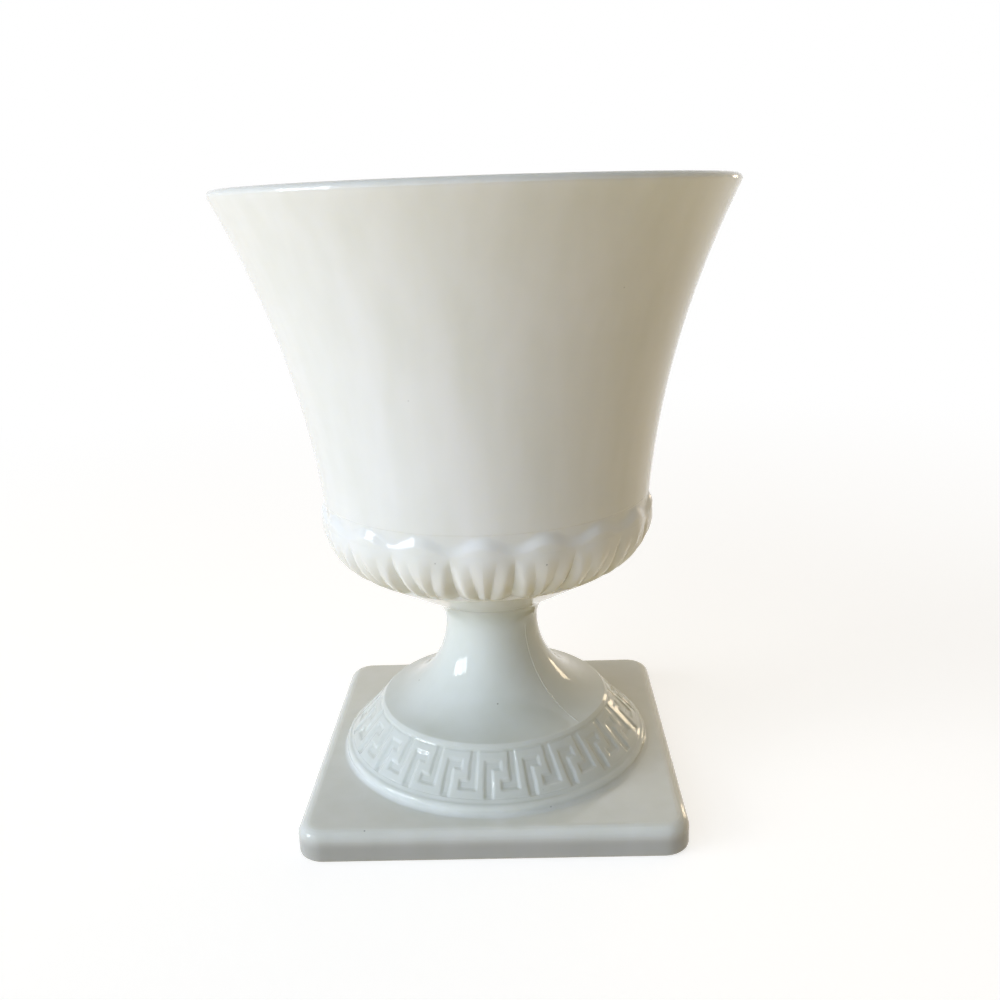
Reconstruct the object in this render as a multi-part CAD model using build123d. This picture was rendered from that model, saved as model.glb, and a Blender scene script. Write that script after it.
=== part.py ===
from build123d import *
import math
import os

os.makedirs("parts", exist_ok=True)

# Pressed milk-glass urn vase: a flared bowl on a pedestal foot, joined hot at the neck.
# Millimetres and degrees. The origin is the centre of the plinth's underside, +Z is up.

# Heights of the three pieces, which stand on each other
foot_height = 61.4
wafer_thickness = 1.8
bowl_height = 125.3

# Square plinth
plinth_side = 115.2
plinth_thickness = 9.5
plinth_corner_radius = 8.0
plinth_top_round = 3.6
plinth_bottom_round = 1.2

# Bead that lies on the plinth, round the foot of the collar
bead_radius = 1.7
bead_ring_radius = 48.4
bead_start_angle = 130.0

# Sloping collar that carries the key pattern
collar_foot_inset = 0.5
collar_foot_rise = 4.2
collar_run = 9.7
collar_rise = 10.5

# Raised ring at the edge of the stem's flared dome
dome_ring_width = 1.9
dome_ring_rise = 0.4
dome_ring_gap = 0.5

# Key pattern: one running meander, cut as two hooked pockets a unit
key_count = 22
key_start_angle = 2.0
key_relief = 0.9
key_run_out = 0.4
key_cells = 5

# Stem: its narrowest place lies below the wafer, and it flares again up to it
neck_radius = 14.9
neck_drop = 8.6
neck_flare = 4.7

# Hollow under the foot, left by the press
foot_wall = 6.0
hollow_mouth_wall = 3.9
hollow_top_rise = 9.0
stem_core_height = 22.4

# Joining wafer
wafer_flare = 3.2
wafer_bulge = 0.35

# Bowl, outside: a sloping underside, a round corner, a short belt, a waist and the flare
belt_radius = 51.6
belt_level_rise = 25.8
belt_height = 3.5
bowl_corner_radius = 16.1
waist_rise = 4.3
waist_inset = 0.5
rim_radius = 76.3
flare_bow = 4.2
lip_thickness = 3.4

# Bowl, inside
bowl_wall = 4.6
inside_corner_radius = 10.5
floor_dip = 4.8

# Ring of leaves pressed into the bowl's underside
leaf_count = 18
leaf_start_angle = 10.1
gap_rise = 2.8
gap_depth = 2.3
gap_half_width = 3.0
valley_start_angle = 3.6
valley_depth = 1.1
valley_half_width = 2.3
valley_spread_share = 0.165
groove_end_gap = 4.2

# One overrun serves all cuts
overrun = 1.5

wafer_top = foot_height + wafer_thickness
rim_height = wafer_top + bowl_height


def turned(outline, angle=360):
    """Turn a closed outline, drawn as radius and height, round the vertical axis."""
    return revolve(Plane.XZ * make_face(outline), Axis.Z, angle)


def along(start, end, share):
    """The point that lies this share of the way from start to end."""
    return (start[0] + (end[0] - start[0]) * share, start[1] + (end[1] - start[1]) * share)


def stepped(point, direction, distance):
    """The point that lies this distance from another, in a direction of length one."""
    return (point[0] + direction[0] * distance, point[1] + direction[1] * distance)


def swung(centre, radius, angle):
    """The point on a circle, at an angle above straight outwards."""
    turn = math.radians(angle)
    return (centre[0] + radius * math.cos(turn), centre[1] + radius * math.sin(turn))


# Collar: its line, its direction downwards and its outward normal
collar_bottom = (bead_ring_radius - collar_foot_inset, plinth_thickness + collar_foot_rise)
collar_top = (collar_bottom[0] - collar_run, collar_bottom[1] + collar_rise)
collar_length = math.dist(collar_top, collar_bottom)
collar_down = (collar_run / collar_length, -collar_rise / collar_length)
collar_out = (collar_rise / collar_length, collar_run / collar_length)

# Ring at the edge of the dome: it carries on the collar's own line upwards
ring_lower = stepped(collar_top, collar_down, -dome_ring_gap)
ring_upper = stepped(ring_lower, collar_down, -dome_ring_width)
ring_middle = stepped(along(ring_lower, ring_upper, 0.5), collar_out, dome_ring_rise)

# Neck and the wafer's two edges
neck = (neck_radius, foot_height - neck_drop)
wafer_lower_edge = (neck_radius + neck_flare, foot_height)
wafer_upper_edge = (wafer_lower_edge[0] + wafer_flare, wafer_top)

# The stem's lower curve leaves the neck upright and ends at the dome's edge
stem_drop = neck[1] - ring_upper[1]
stem_reach = ring_upper[0] - neck[0]
stem_curve_radius = (stem_drop**2 + stem_reach**2) / (2 * stem_reach)
stem_curve_centre = (neck[0] + stem_curve_radius, neck[1])


def stem_and_collar():
    """The turned part of the foot, from the wafer's seat down into the plinth."""
    bead_centre = (bead_ring_radius, plinth_thickness + bead_radius)
    bead_start = swung(bead_centre, bead_radius, bead_start_angle)
    bead_side = swung(bead_centre, bead_radius, 0)
    bead_seat = swung(bead_centre, bead_radius, -90)
    outline = [
        Line((0, foot_height), wafer_lower_edge),
        TangentArc(neck, wafer_lower_edge, tangent=(0, 1)),
        TangentArc(neck, ring_upper, tangent=(0, -1)),
        ThreePointArc(ring_upper, ring_middle, ring_lower),
        Line(ring_lower, collar_bottom),
        Line(collar_bottom, bead_start),
        ThreePointArc(bead_start, bead_side, bead_seat),
        Line(bead_seat, (bead_ring_radius, plinth_bottom_round)),
        Line((bead_ring_radius, plinth_bottom_round), (0, plinth_bottom_round)),
        Line((0, plinth_bottom_round), (0, foot_height)),
    ]
    return turned(outline)


def plinth():
    """The square slab with soft edges."""
    slab = extrude(RectangleRounded(plinth_side, plinth_side, plinth_corner_radius), plinth_thickness)
    slab = fillet(slab.faces().sort_by(Axis.Z)[-1].edges(), plinth_top_round)
    return fillet(slab.faces().sort_by(Axis.Z)[0].edges(), plinth_bottom_round)


def foot_hollow():
    """The press's hollow: an even wall inside the collar and the dome, with a round top."""
    mouth_radius = bead_ring_radius - hollow_mouth_wall
    inner_bottom = stepped(collar_bottom, collar_out, -foot_wall)
    inner_top = stepped(ring_lower, collar_out, -foot_wall)
    mouth_share = (mouth_radius - inner_top[0]) / (inner_bottom[0] - inner_top[0])
    shoulder = along(inner_top, inner_bottom, mouth_share)
    top_level = foot_height - stem_core_height
    flank_end_level = top_level - hollow_top_rise
    reach = stem_curve_radius + foot_wall
    flank_end_inset = math.sqrt(reach**2 - (neck[1] - flank_end_level) ** 2)
    flank_end = (stem_curve_centre[0] - flank_end_inset, flank_end_level)
    outline = [
        Line((0, -overrun), (mouth_radius, -overrun)),
        Line((mouth_radius, -overrun), shoulder),
        Line(shoulder, inner_top),
        ThreePointArc(inner_top, flank_middle(reach, inner_top, flank_end), flank_end),
        TangentArc((0, top_level), flank_end, tangent=(1, 0)),
        Line((0, top_level), (0, -overrun)),
    ]
    return turned(outline)


def flank_middle(reach, lower, upper):
    """The middle of the hollow's flank, on a curve that keeps the wall under the stem even."""
    middle = along(lower, upper, 0.5)
    away = math.dist(stem_curve_centre, middle)
    out = ((middle[0] - stem_curve_centre[0]) / away, (middle[1] - stem_curve_centre[1]) / away)
    return stepped(stem_curve_centre, out, reach)


def key_block(first_cell, last_cell, first_row, last_row, run_up, run_down):
    """A piece of the collar's skin, some cells wide and some rows high, as deep as the relief."""
    upper = stepped(collar_top, collar_down, collar_length * first_row / key_cells - run_up)
    lower = stepped(collar_top, collar_down, collar_length * last_row / key_cells + run_down)
    corners = [
        stepped(upper, collar_out, -key_relief),
        stepped(lower, collar_out, -key_relief),
        stepped(lower, collar_out, overrun),
        stepped(upper, collar_out, overrun),
    ]
    cell_angle = 360 / key_count / key_cells
    block = turned(Polyline(*corners, close=True), cell_angle * (last_cell - first_cell))
    return Rot(0, 0, key_start_angle + cell_angle * first_cell) * block


def key_pockets():
    """The two hooked pockets of one unit of the meander."""
    lower_hook = key_block(1, 2, 1, 5, 0, key_run_out) + key_block(2, 3, 1, 2, 0, 0)
    upper_hook = key_block(4, 5, 0, 4, key_run_out, 0) + key_block(3, 4, 3, 4, 0, 0)
    return [lower_hook, upper_hook]


def pedestal_foot():
    """Stem, dome, key collar, bead and square plinth, pressed as one piece of glass."""
    foot = plinth() + stem_and_collar() - foot_hollow()
    pockets = [
        Rot(0, 0, 360 * unit / key_count) * pocket
        for unit in range(key_count)
        for pocket in key_pockets()
    ]
    return foot - pockets


def joining_wafer():
    """The thin disc of hot glass between foot and bowl, with its edge bulging a little."""
    slant = math.dist(wafer_lower_edge, wafer_upper_edge)
    out = (wafer_thickness / slant, -wafer_flare / slant)
    edge_middle = stepped(along(wafer_lower_edge, wafer_upper_edge, 0.5), out, wafer_bulge)
    outline = [
        Line((0, foot_height), wafer_lower_edge),
        ThreePointArc(wafer_lower_edge, edge_middle, wafer_upper_edge),
        Line(wafer_upper_edge, (0, wafer_top)),
        Line((0, wafer_top), (0, foot_height)),
    ]
    return turned(outline)


# Bowl: belt and waist, and a straight underside that runs tangent into the round corner
belt_low = (belt_radius, wafer_top + belt_level_rise)
belt_high = (belt_radius, belt_low[1] + belt_height)
waist = (belt_radius - waist_inset, belt_high[1] + waist_rise)
corner_centre = (belt_radius - bowl_corner_radius, belt_low[1])
underside_sight = math.dist(wafer_upper_edge, corner_centre)
underside_aim = math.atan2(corner_centre[1] - wafer_upper_edge[1], corner_centre[0] - wafer_upper_edge[0])
underside_slope = math.degrees(underside_aim - math.asin(bowl_corner_radius / underside_sight))
underside_end = swung(corner_centre, bowl_corner_radius, underside_slope - 90)
corner_middle_angle = (underside_slope - 90) / 2


def bowl_blank():
    """The bowl before its leaves: outside, lip and inside in one turned outline."""
    lip_centre = (rim_radius - lip_thickness / 2, rim_height - lip_thickness / 2)
    lip_out = swung(lip_centre, lip_thickness / 2, 0)
    lip_top = swung(lip_centre, lip_thickness / 2, 90)
    lip_in = swung(lip_centre, lip_thickness / 2, 180)
    inside_low = (waist[0] - bowl_wall, belt_low[1])
    centre = (inside_low[0] - inside_corner_radius, inside_low[1])
    floor_level = centre[1] - inside_corner_radius - floor_dip
    floor_curve = (centre[0] ** 2 + (centre[1] - floor_level) ** 2 - inside_corner_radius**2) / (2 * floor_dip)
    floor_aim = math.degrees(math.atan2(centre[1] - floor_level - floor_curve, centre[0]))
    floor_end = swung(centre, inside_corner_radius, floor_aim)
    outline = [
        Line((0, wafer_top), wafer_upper_edge),
        Line(wafer_upper_edge, underside_end),
        ThreePointArc(underside_end, swung(corner_centre, bowl_corner_radius, corner_middle_angle), belt_low),
        Line(belt_low, belt_high),
        TangentArc(belt_high, waist, tangent=(0, 1)),
        SagittaArc(waist, lip_out, flare_bow),
        TangentArc(lip_out, lip_top, tangent=(0, 1)),
        TangentArc(lip_top, lip_in, tangent=(-1, 0)),
        TangentArc(inside_low, lip_in, tangent=(0, 1)),
        TangentArc(inside_low, floor_end, tangent=(0, -1)),
        TangentArc((0, floor_level), floor_end, tangent=(1, 0)),
        Line((0, floor_level), (0, wafer_top)),
    ]
    return turned(outline)


def groove_tool(above, depth, half_width):
    """A tapering V that enters below the belt, is deepest at the corner and fades out near the neck."""
    deepest = swung(corner_centre, bowl_corner_radius - depth, corner_middle_angle)
    run_share = groove_end_gap / (underside_end[0] - wafer_upper_edge[0])
    below = along(wafer_upper_edge, underside_end, run_share)
    path = ThreePointArc(above, deepest, below)
    centre = (path.arc_center.X, path.arc_center.Y)
    reach = path.radius
    upward = math.degrees(math.atan2(above[1] - centre[1], above[0] - centre[0]))
    downward = math.degrees(math.atan2(centre[1] - below[1], below[0] - centre[0]))
    fade = math.degrees(overrun / reach)
    flank = half_width / depth
    height = depth + overrun
    face = Polyline(
        (centre[0] + reach, 0, centre[1]),
        (centre[0] + reach + height, height * flank, centre[1]),
        (centre[0] + reach + height, -height * flank, centre[1]),
        close=True,
    )
    hinge = Axis((centre[0], 0, centre[1]), (0, 1, 0))
    start = make_face(face).rotate(hinge, -upward - fade)
    return revolve(start, hinge, upward + downward + 2 * fade)


def bowl():
    """The flared bowl, with a ring of three-ribbed leaves pressed into its underside."""
    leaf_angle = 360 / leaf_count
    gap_start = (belt_radius, belt_high[1] + gap_rise)
    valley_start = swung(corner_centre, bowl_corner_radius, -valley_start_angle)
    gap = groove_tool(gap_start, gap_depth, gap_half_width)
    valley = groove_tool(valley_start, valley_depth, valley_half_width)
    grooves = []
    for leaf in range(leaf_count):
        middle = leaf_start_angle + leaf_angle * leaf
        grooves.append(Rot(0, 0, middle + leaf_angle / 2) * gap)
        for side in (-1, 1):
            grooves.append(Rot(0, 0, middle + side * leaf_angle * valley_spread_share) * valley)
    return bowl_blank() - grooves


export_step(pedestal_foot(), "parts/pedestal_foot.step")
export_step(joining_wafer(), "parts/joining_wafer.step")
export_step(bowl(), "parts/bowl.step")
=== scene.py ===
import math

import bpy
from mathutils import Matrix, Vector


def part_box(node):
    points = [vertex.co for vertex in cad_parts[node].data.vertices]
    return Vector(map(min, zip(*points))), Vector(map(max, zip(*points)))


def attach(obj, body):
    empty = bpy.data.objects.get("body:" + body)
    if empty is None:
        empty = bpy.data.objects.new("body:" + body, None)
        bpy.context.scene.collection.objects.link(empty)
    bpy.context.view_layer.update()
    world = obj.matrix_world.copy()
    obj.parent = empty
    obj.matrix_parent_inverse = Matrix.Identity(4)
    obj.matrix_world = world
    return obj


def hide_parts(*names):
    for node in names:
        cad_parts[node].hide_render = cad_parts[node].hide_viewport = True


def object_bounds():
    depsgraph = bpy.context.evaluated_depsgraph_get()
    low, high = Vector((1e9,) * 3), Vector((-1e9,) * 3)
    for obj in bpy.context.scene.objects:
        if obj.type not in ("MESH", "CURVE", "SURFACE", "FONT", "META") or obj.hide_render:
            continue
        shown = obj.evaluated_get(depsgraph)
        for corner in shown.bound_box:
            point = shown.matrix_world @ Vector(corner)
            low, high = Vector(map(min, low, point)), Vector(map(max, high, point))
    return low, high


bl_info = {
    "name": "Milk-glass urn vase",
    "version": (1, 0, 0),
    "blender": (4, 5, 0),
    "location": "3D View > Sidebar > Urn vase",
    "description": "Builds a pressed milk-glass urn vase round its fixed frame, in a plain studio",
    "category": "Object",
}

MM = 0.001
TAU = 2 * math.pi

# Points that lie nearer than this are one point
SAME_POINT = 0.0002 * MM
# Edges that bend more than this are drawn sharp
CREASE = math.radians(50)
# The floor lies this far below the vase, so that the two faces don't fight
FLOOR_DROP = 0.05 * MM
# Half the side of the floor, in metres
FLOOR_REACH = 4.0
# Red light spreads furthest inside milk glass, and blue least
BLEED_SHARES = (1.0, 0.97, 0.9)
# Watts for each square metre that give an area lamp a brightness of one
LAMP_WATTS = 4.0
# Width of the camera's film in millimetres, and how near and far it sees in metres
FILM_WIDTH = 36.0
SIGHT_NEAR, SIGHT_FAR = 0.01, 20.0

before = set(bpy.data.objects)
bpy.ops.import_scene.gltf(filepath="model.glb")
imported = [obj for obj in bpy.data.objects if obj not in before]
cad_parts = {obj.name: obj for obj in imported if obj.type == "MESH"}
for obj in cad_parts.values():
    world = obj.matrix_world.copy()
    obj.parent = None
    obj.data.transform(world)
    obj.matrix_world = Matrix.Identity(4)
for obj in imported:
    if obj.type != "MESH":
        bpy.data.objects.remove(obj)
cad_low, cad_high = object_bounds()
foot_low, foot_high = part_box("pedestal_foot")
wafer_low, wafer_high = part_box("joining_wafer")
bowl_low, bowl_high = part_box("bowl")


def linear(hex_colour):
    """An sRGB hex colour as linear red, green, blue and alpha."""
    shares = [int(hex_colour[place : place + 2], 16) / 255 for place in (1, 3, 5)]
    return (*[s / 12.92 if s <= 0.04045 else ((s + 0.055) / 1.055) ** 2.4 for s in shares], 1.0)


def size(name, millimetres, description):
    """A length of the vase, given in millimetres and kept in metres."""
    return bpy.props.FloatProperty(
        name=name, description=description, default=millimetres * MM, min=0.0, precision=5, unit="LENGTH"
    )


def turn(name, degrees, description):
    """An angle, given in degrees."""
    return bpy.props.FloatProperty(
        name=name, description=description, default=math.radians(degrees), precision=3, unit="ROTATION"
    )


def share(name, value, description):
    """A plain number, such as a share or a level."""
    return bpy.props.FloatProperty(name=name, description=description, default=value, min=0.0, precision=3)


def colour(name, hex_colour, description):
    """A colour, given as sRGB hex and kept linear."""
    return bpy.props.FloatVectorProperty(
        name=name, description=description, default=linear(hex_colour), size=4, min=0, max=1, subtype="COLOR"
    )


class UrnFootSizes(bpy.types.PropertyGroup):
    """Sizes of the pedestal foot."""

    plinth_side: size("Plinth side", (foot_high.x - foot_low.x) / MM, "Side of the square plinth")
    foot_height: size("Foot height", foot_high.z / MM, "From the plinth's underside to the wafer")
    plinth_thickness: size("Plinth thickness", 9.5, "Thickness of the square slab")
    plinth_corner: size("Plinth corner", 8.0, "Radius of the slab's upright corners")
    plinth_top_round: size("Top round", 3.6, "Radius of the slab's upper edge")
    plinth_bottom_round: size("Bottom round", 1.2, "Radius of the slab's lower edge")
    bead_radius: size("Bead", 1.7, "Radius of the bead that lies on the plinth")
    bead_ring: size("Bead ring", 48.4, "Radius of the ring that the bead follows")
    bead_fillet: size("Bead fillet", 1.2, "Radius of the fillets from the bead to the plinth and the collar")
    collar_inset: size("Collar inset", 0.5, "How far inside the bead's ring the collar starts")
    collar_foot: size("Collar foot", 4.2, "Height of the collar's foot above the plinth")
    collar_run: size("Collar run", 9.7, "How far the collar slopes inwards")
    collar_rise: size("Collar rise", 10.5, "How far the collar rises")
    ring_width: size("Ring width", 1.9, "Width of the raised ring at the dome's edge")
    ring_rise: size("Ring rise", 0.18, "How far that ring stands proud")
    ring_gap: size("Ring gap", 0.5, "From the key pattern to the ring")
    neck_radius: size("Neck radius", 14.9, "Radius at the stem's narrowest place")
    neck_drop: size("Neck drop", 8.6, "From the wafer down to the narrowest place")
    neck_flare: size("Neck flare", 4.7, "How far the stem spreads again below the wafer")
    wall: size("Wall", 6.0, "Even wall of glass round the hollow")
    mouth_wall: size("Mouth wall", 3.9, "From the bead's ring in to the hollow's mouth")
    hollow_top_rise: size("Hollow top", 9.0, "Height of the hollow's round top")
    stem_core: size("Stem core", 22.4, "Solid glass above the hollow")
    key_count: bpy.props.IntProperty(name="Keys", description="Units of the key pattern", default=22, min=3)
    key_start: turn("Key start", 2.0, "Where the first key's left leg begins")
    key_relief: size("Key relief", 0.6, "How far the fire-polished key stands proud of its ground")
    key_top: share("Key top", 0.5, "Relief at the key's top, as a share of that at its bottom")
    key_edge: share("Key edge", 0.22, "Half width of the key's sloping sides, in cells")
    key_round: share("Key corners", 0.3, "How far the key's corners are rounded, in cells")
    seam_angle: turn("Seam", -42.18, "Where the mould's joint ran down the stem")
    seam_rise: size("Seam rise", 0.15, "How far the mould seam stands proud")
    seam_half_width: size("Seam half width", 0.26, "Half the width of the mould seam")


class UrnWaferSizes(bpy.types.PropertyGroup):
    """Sizes of the joining wafer."""

    lower_radius: size("Lower radius", 19.6, "Radius where the wafer sits on the stem")
    upper_radius: size("Upper radius", 22.8, "Radius where the bowl sits on the wafer")
    bulge: size("Bulge", 0.03, "How far the wafer's edge swells")


class UrnBowlSizes(bpy.types.PropertyGroup):
    """Sizes of the bowl and of the leaves under it."""

    seat_radius: size("Seat radius", 22.8, "Radius where the bowl sits on the wafer")
    belt_radius: size("Belt radius", 51.6, "Radius at the bowl's widest place below the waist")
    belt_level: size("Belt level", 25.8, "From the bowl's seat up to the belt")
    belt_height: size("Belt height", 3.5, "Height of the upright belt")
    corner_radius: size("Corner radius", 16.1, "Radius of the round corner below the belt")
    waist_rise: size("Waist rise", 4.3, "From the belt's top up to the waist")
    waist_inset: size("Waist inset", 0.5, "How far the waist lies inside the belt")
    rim_radius: size("Rim radius", bowl_high.x / MM, "Radius at the rim")
    flare_bow: size("Flare bow", 4.2, "How far the flare's side bends in from a straight line")
    lip: size("Lip", 3.4, "Thickness of the rounded lip")
    wall: size("Wall", 4.6, "Thickness of the wall at the waist")
    inside_corner: size("Inside corner", 10.5, "Radius of the round corner inside")
    floor_dip: size("Floor dip", 4.8, "How far the floor dips to its middle")
    leaf_count: bpy.props.IntProperty(name="Leaves", description="Leaves round the bowl", default=18, min=3)
    leaf_start: turn("Leaf start", 10.1, "Where the first leaf's rib lies")
    leaf_arch: size("Leaf arch", 2.6, "How far a leaf's top falls towards its sides")
    leaf_edge: size("Leaf edge", 4.0, "Height over which a leaf's top rounds back to the flare")
    leaf_crown: size("Leaf crown", 0.65, "How far a leaf swells across its width")
    gap_drop: size("Gap drop", 1.8, "From the belt's top down to where the gaps begin")
    gap_depth: size("Gap depth", 1.8, "Depth of the gap between two leaves")
    gap_half_width: size("Gap half width", 3.1, "Half the width of that gap where it ends")
    gap_top_half_width: size("Gap top half width", 2.2, "Half the width of that gap where it begins")
    gap_end_depth: size("Gap end depth", 1.4, "Depth of the gap where it ends")
    valley_rise: size("Valley rise", 1.2, "Height above the corner where a leaf's two valleys begin")
    valley_depth: size("Valley depth", 0.85, "Depth of the valleys beside a leaf's rib")
    valley_end_depth: size("Valley end depth", 0.55, "Depth of the valleys where they end")
    valley_spread: share("Valley spread", 0.21, "From the rib to a valley's top, as a share of a leaf")
    valley_meeting: share("Valley meeting", 0.09, "From the rib to a valley's end, as a share of a leaf")
    groove_deepest: turn("Groove deepest", 45.0, "How far round the corner the grooves are deepest")
    groove_run: size("Groove run", 1.6, "How far past the corner the grooves go")
    soften: size("Softening", 0.8, "How far fire polish has rounded the grooves' edges")


class UrnGlassFinish(bpy.types.PropertyGroup):
    """Colour and surface of the milk glass."""

    body: colour("Body", "#F1F2EE", "Colour of the dense white glass")
    swirl: colour("Swirl", "#F8F8F5", "Tint of the thinner swirls in the glass")
    # Painted shade: the foot's glass is drawn greyer than the bowl's, so the whole foot reads darker; Neck
    # blend sets where this painted shade runs into the bowl's colour
    foot: colour("Foot glass", "#DDE1DA", "Colour of the foot, pressed from a thinner melt")
    neck_blend: size("Neck blend", 4.0, "How far above and below the joint the two colours run together")
    # Painted light: the slab's top is drawn whiter than the foot, as if more light fell on it; Slab blend
    # sets how far above the slab this painted light is full
    slab: colour("Slab top", "#E9EBE4", "Colour of the slab's top, where the glass is thick and dense")
    # Painted shade: the slab's sides are drawn darkest grey, as if they stood in shade; Edge share sets the
    # height where this painted shade is full
    edge: colour("Plinth edge", "#BABAB5", "Colour of the slab's sides, where light leaves the glass")
    slab_blend: size("Slab blend", 0.5, "How far above the slab its own colour is full")
    edge_share: share("Edge share", 0.45, "Height where the sides' colour is full, as a share of the slab")
    lip: colour("Lip", "#DEDFD8", "Colour of the thin lip, which lets some light through")
    lip_start: size("Lip start", 2.5, "How far below the rim the lip's colour begins")
    lip_full: size("Lip full", 0.5, "How far below the rim it is full")
    ior: share("IOR", 1.5, "Index of refraction of the glass")
    roughness: share("Roughness", 0.03, "Roughness of fire-polished glass")
    dulling: share("Dulling", 0.05, "Roughness that handling has added in places")
    swirl_size: size("Swirl size", 42.0, "Size of the swirls in the glass")
    streak_size: size("Streak size", 9.0, "Width of the faint streaks that the press drew out")
    streak_share: share("Streak share", 0.09, "Their scale upwards, as a share of that across")
    cloud_from: share("Cloud from", 0.75, "Sum of swirl and streak where the cloud begins")
    cloud_to: share("Cloud to", 1.3, "Sum of swirl and streak where the cloud is full")
    wave_size: size("Wave size", 17.0, "Length of the slow waves in the surface")
    wave_height: size("Wave height", 0.02, "Height of those waves")
    chill_size: size("Chill size", 1.5, "Size of the chill marks that a cool mould leaves")
    chill_height: size("Chill height", 0.005, "Height of the chill marks")
    bleed: size("Bleed", 2.6, "How far light spreads inside the glass")
    bleed_share: share("Bleed share", 1.0, "Share of the light that spreads inside the glass")
    joint_near: size("Joint near", 1.2, "Distance from the joint within which no light spreads")
    joint_far: size("Joint far", 5.0, "Distance from the joint past which it spreads fully")
    patch_size: size("Patch size", 26.0, "Size of the dulled patches")
    patch_from: share("Patch from", 0.4, "Level of the patches' noise where the dulling begins")
    patch_to: share("Patch to", 0.75, "Level of that noise where the dulling is full")
    seed: colour("Seed", "#8F8E86", "Colour at the bottom of a seed")
    # Painted shade: the grey drawn at the bottom of each seed's pit
    seed_spacing: size("Seed spacing", 13.0, "Distance between seeds in the glass")
    seed_radius: size("Seed radius", 0.4, "Radius of the largest seeds")
    seed_depth: size("Seed depth", 0.06, "Depth of the largest seeds")


class UrnStudio(bpy.types.PropertyGroup):
    """Camera, floor, lamps and the room's soft light."""

    eye: bpy.props.FloatVectorProperty(
        name="Eye", description="Place of the camera", default=(0.0126, -0.3098, 0.18165), unit="LENGTH"
    )
    pan: turn("Pan", -1.575, "Camera's turn to the right")
    tilt: turn("Tilt", 16.163, "Camera's tilt downwards")
    roll: turn("Roll", 2.017, "Camera's roll clockwise")
    lens: share("Lens", 36.464, "Focal length in millimetres on a 36 mm sensor")
    floor: colour("Floor", "#C9C8C4", "Colour of the pale floor")
    bounce: colour("Bounce", "#F1DA9F", "Colour of the warm light that the table sends up to the glass")
    floor_lift: share("Floor lift", 0.69, "Light added to the floor for the eye, so that it reads as white")
    window_light: colour("Window light", "#F2F8FF", "Colour of the sky in the window")
    window_level: share("Window level", 7.5, "Brightness of the window")
    window_azimuth: turn("Window azimuth", -70.0, "Direction of the window, from the front to the right")
    window_rise: turn("Window rise", 14.0, "Height of the window's middle above the horizon")
    window_distance: share("Window distance", 1.5, "Distance of the window in metres")
    pane_width: share("Pane width", 0.2, "Width of one of the window's three lights in metres")
    pane_height: share("Pane height", 0.44, "Height of the window's lights in metres")
    pane_bar: share("Pane bar", 0.035, "Width of the bars between them in metres")
    warm_light: colour("Warm light", "#FFE6C4", "Colour of the small warm light behind")
    warm_level: share("Warm level", 4.0, "Brightness of the small warm light behind")
    warm_azimuth: turn("Warm azimuth", 140.0, "Direction of the warm light")
    warm_rise: turn("Warm rise", 4.0, "Height of the warm light above the horizon")
    warm_distance: share("Warm distance", 1.6, "Distance of the warm light in metres")
    warm_width: share("Warm width", 0.2, "Width of the warm light in metres")
    warm_height: share("Warm height", 0.5, "Height of the warm light in metres")
    paper_near: share("Paper near", 0.18, "Where the floor starts to fade to white, in metres")
    paper_far: share("Paper far", 0.75, "Where the floor is plain white, in metres")
    side_light: colour("Side light", "#D5E4FF", "Colour of the wide soft light at the window's side")
    side_level: share("Side level", 3.25, "Brightness of that light")
    side_azimuth: turn("Side azimuth", -45.0, "Direction of that light")
    side_rise: turn("Side rise", 0.0, "Height of its middle above the horizon")
    side_reach: turn("Side reach", 60.0, "Angle over which it fades to nothing")
    back_light: colour("Back light", "#FFEBCA", "Colour of the warm room behind, to the right")
    back_level: share("Back level", 0.82, "Brightness of that room")
    back_azimuth: turn("Back azimuth", 145.0, "Direction of that room")
    back_rise: turn("Back rise", 20.0, "Height of its middle above the horizon")
    back_reach: turn("Back reach", 72.5, "Angle over which it fades to nothing")
    ceiling_light: colour("Ceiling light", "#FFE8AC", "Colour of the ceiling")
    ceiling_level: share("Ceiling level", 0.09, "Brightness of the ceiling")
    ceiling_azimuth: turn("Ceiling azimuth", 0.0, "Direction of its brightest place")
    ceiling_rise: turn("Ceiling rise", 90.0, "Height of that place above the horizon")
    ceiling_reach: turn("Ceiling reach", 90.0, "Angle over which it fades to nothing")


def add(tree, kind, inputs=None, **settings):
    """Add a node. A value for an input is a node, a node with an output's name, or a plain value."""
    node = tree.nodes.new(kind)
    for name, value in settings.items():
        setattr(node, name, value)
    enabled = [socket for socket in node.inputs if socket.enabled]
    for key, value in (inputs or {}).items():
        socket = enabled[key] if isinstance(key, int) else next(s for s in enabled if s.name == key)
        if isinstance(value, bpy.types.Node):
            tree.links.new(next(s for s in value.outputs if s.enabled), socket)
        elif isinstance(value, tuple) and isinstance(value[0], bpy.types.Node):
            tree.links.new(value[0].outputs[value[1]], socket)
        else:
            socket.default_value = value
    return node


def reckon(tree, operation, *values):
    """A node that works out one number. Its values are given as for add."""
    return add(tree, "ShaderNodeMath", dict(enumerate(values)), operation=operation)


def ease(tree, value, low, high, start=0.0, end=1.0):
    """A number that goes softly from start to end while the value goes from low to high."""
    return add(
        tree,
        "ShaderNodeMapRange",
        {"Value": value, "From Min": low, "From Max": high, "To Min": start, "To Max": end},
        interpolation_type="SMOOTHSTEP",
    )


def along(start, end, part):
    """The point that lies this share of the way from start to end."""
    return (start[0] + (end[0] - start[0]) * part, start[1] + (end[1] - start[1]) * part)


def stepped(point, direction, distance):
    """The point that lies this distance from another, in a direction of length one."""
    return (point[0] + direction[0] * distance, point[1] + direction[1] * distance)


def swung(centre, radius, angle):
    """The point on a circle, at an angle above straight outwards."""
    return (centre[0] + radius * math.cos(angle), centre[1] + radius * math.sin(angle))


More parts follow.
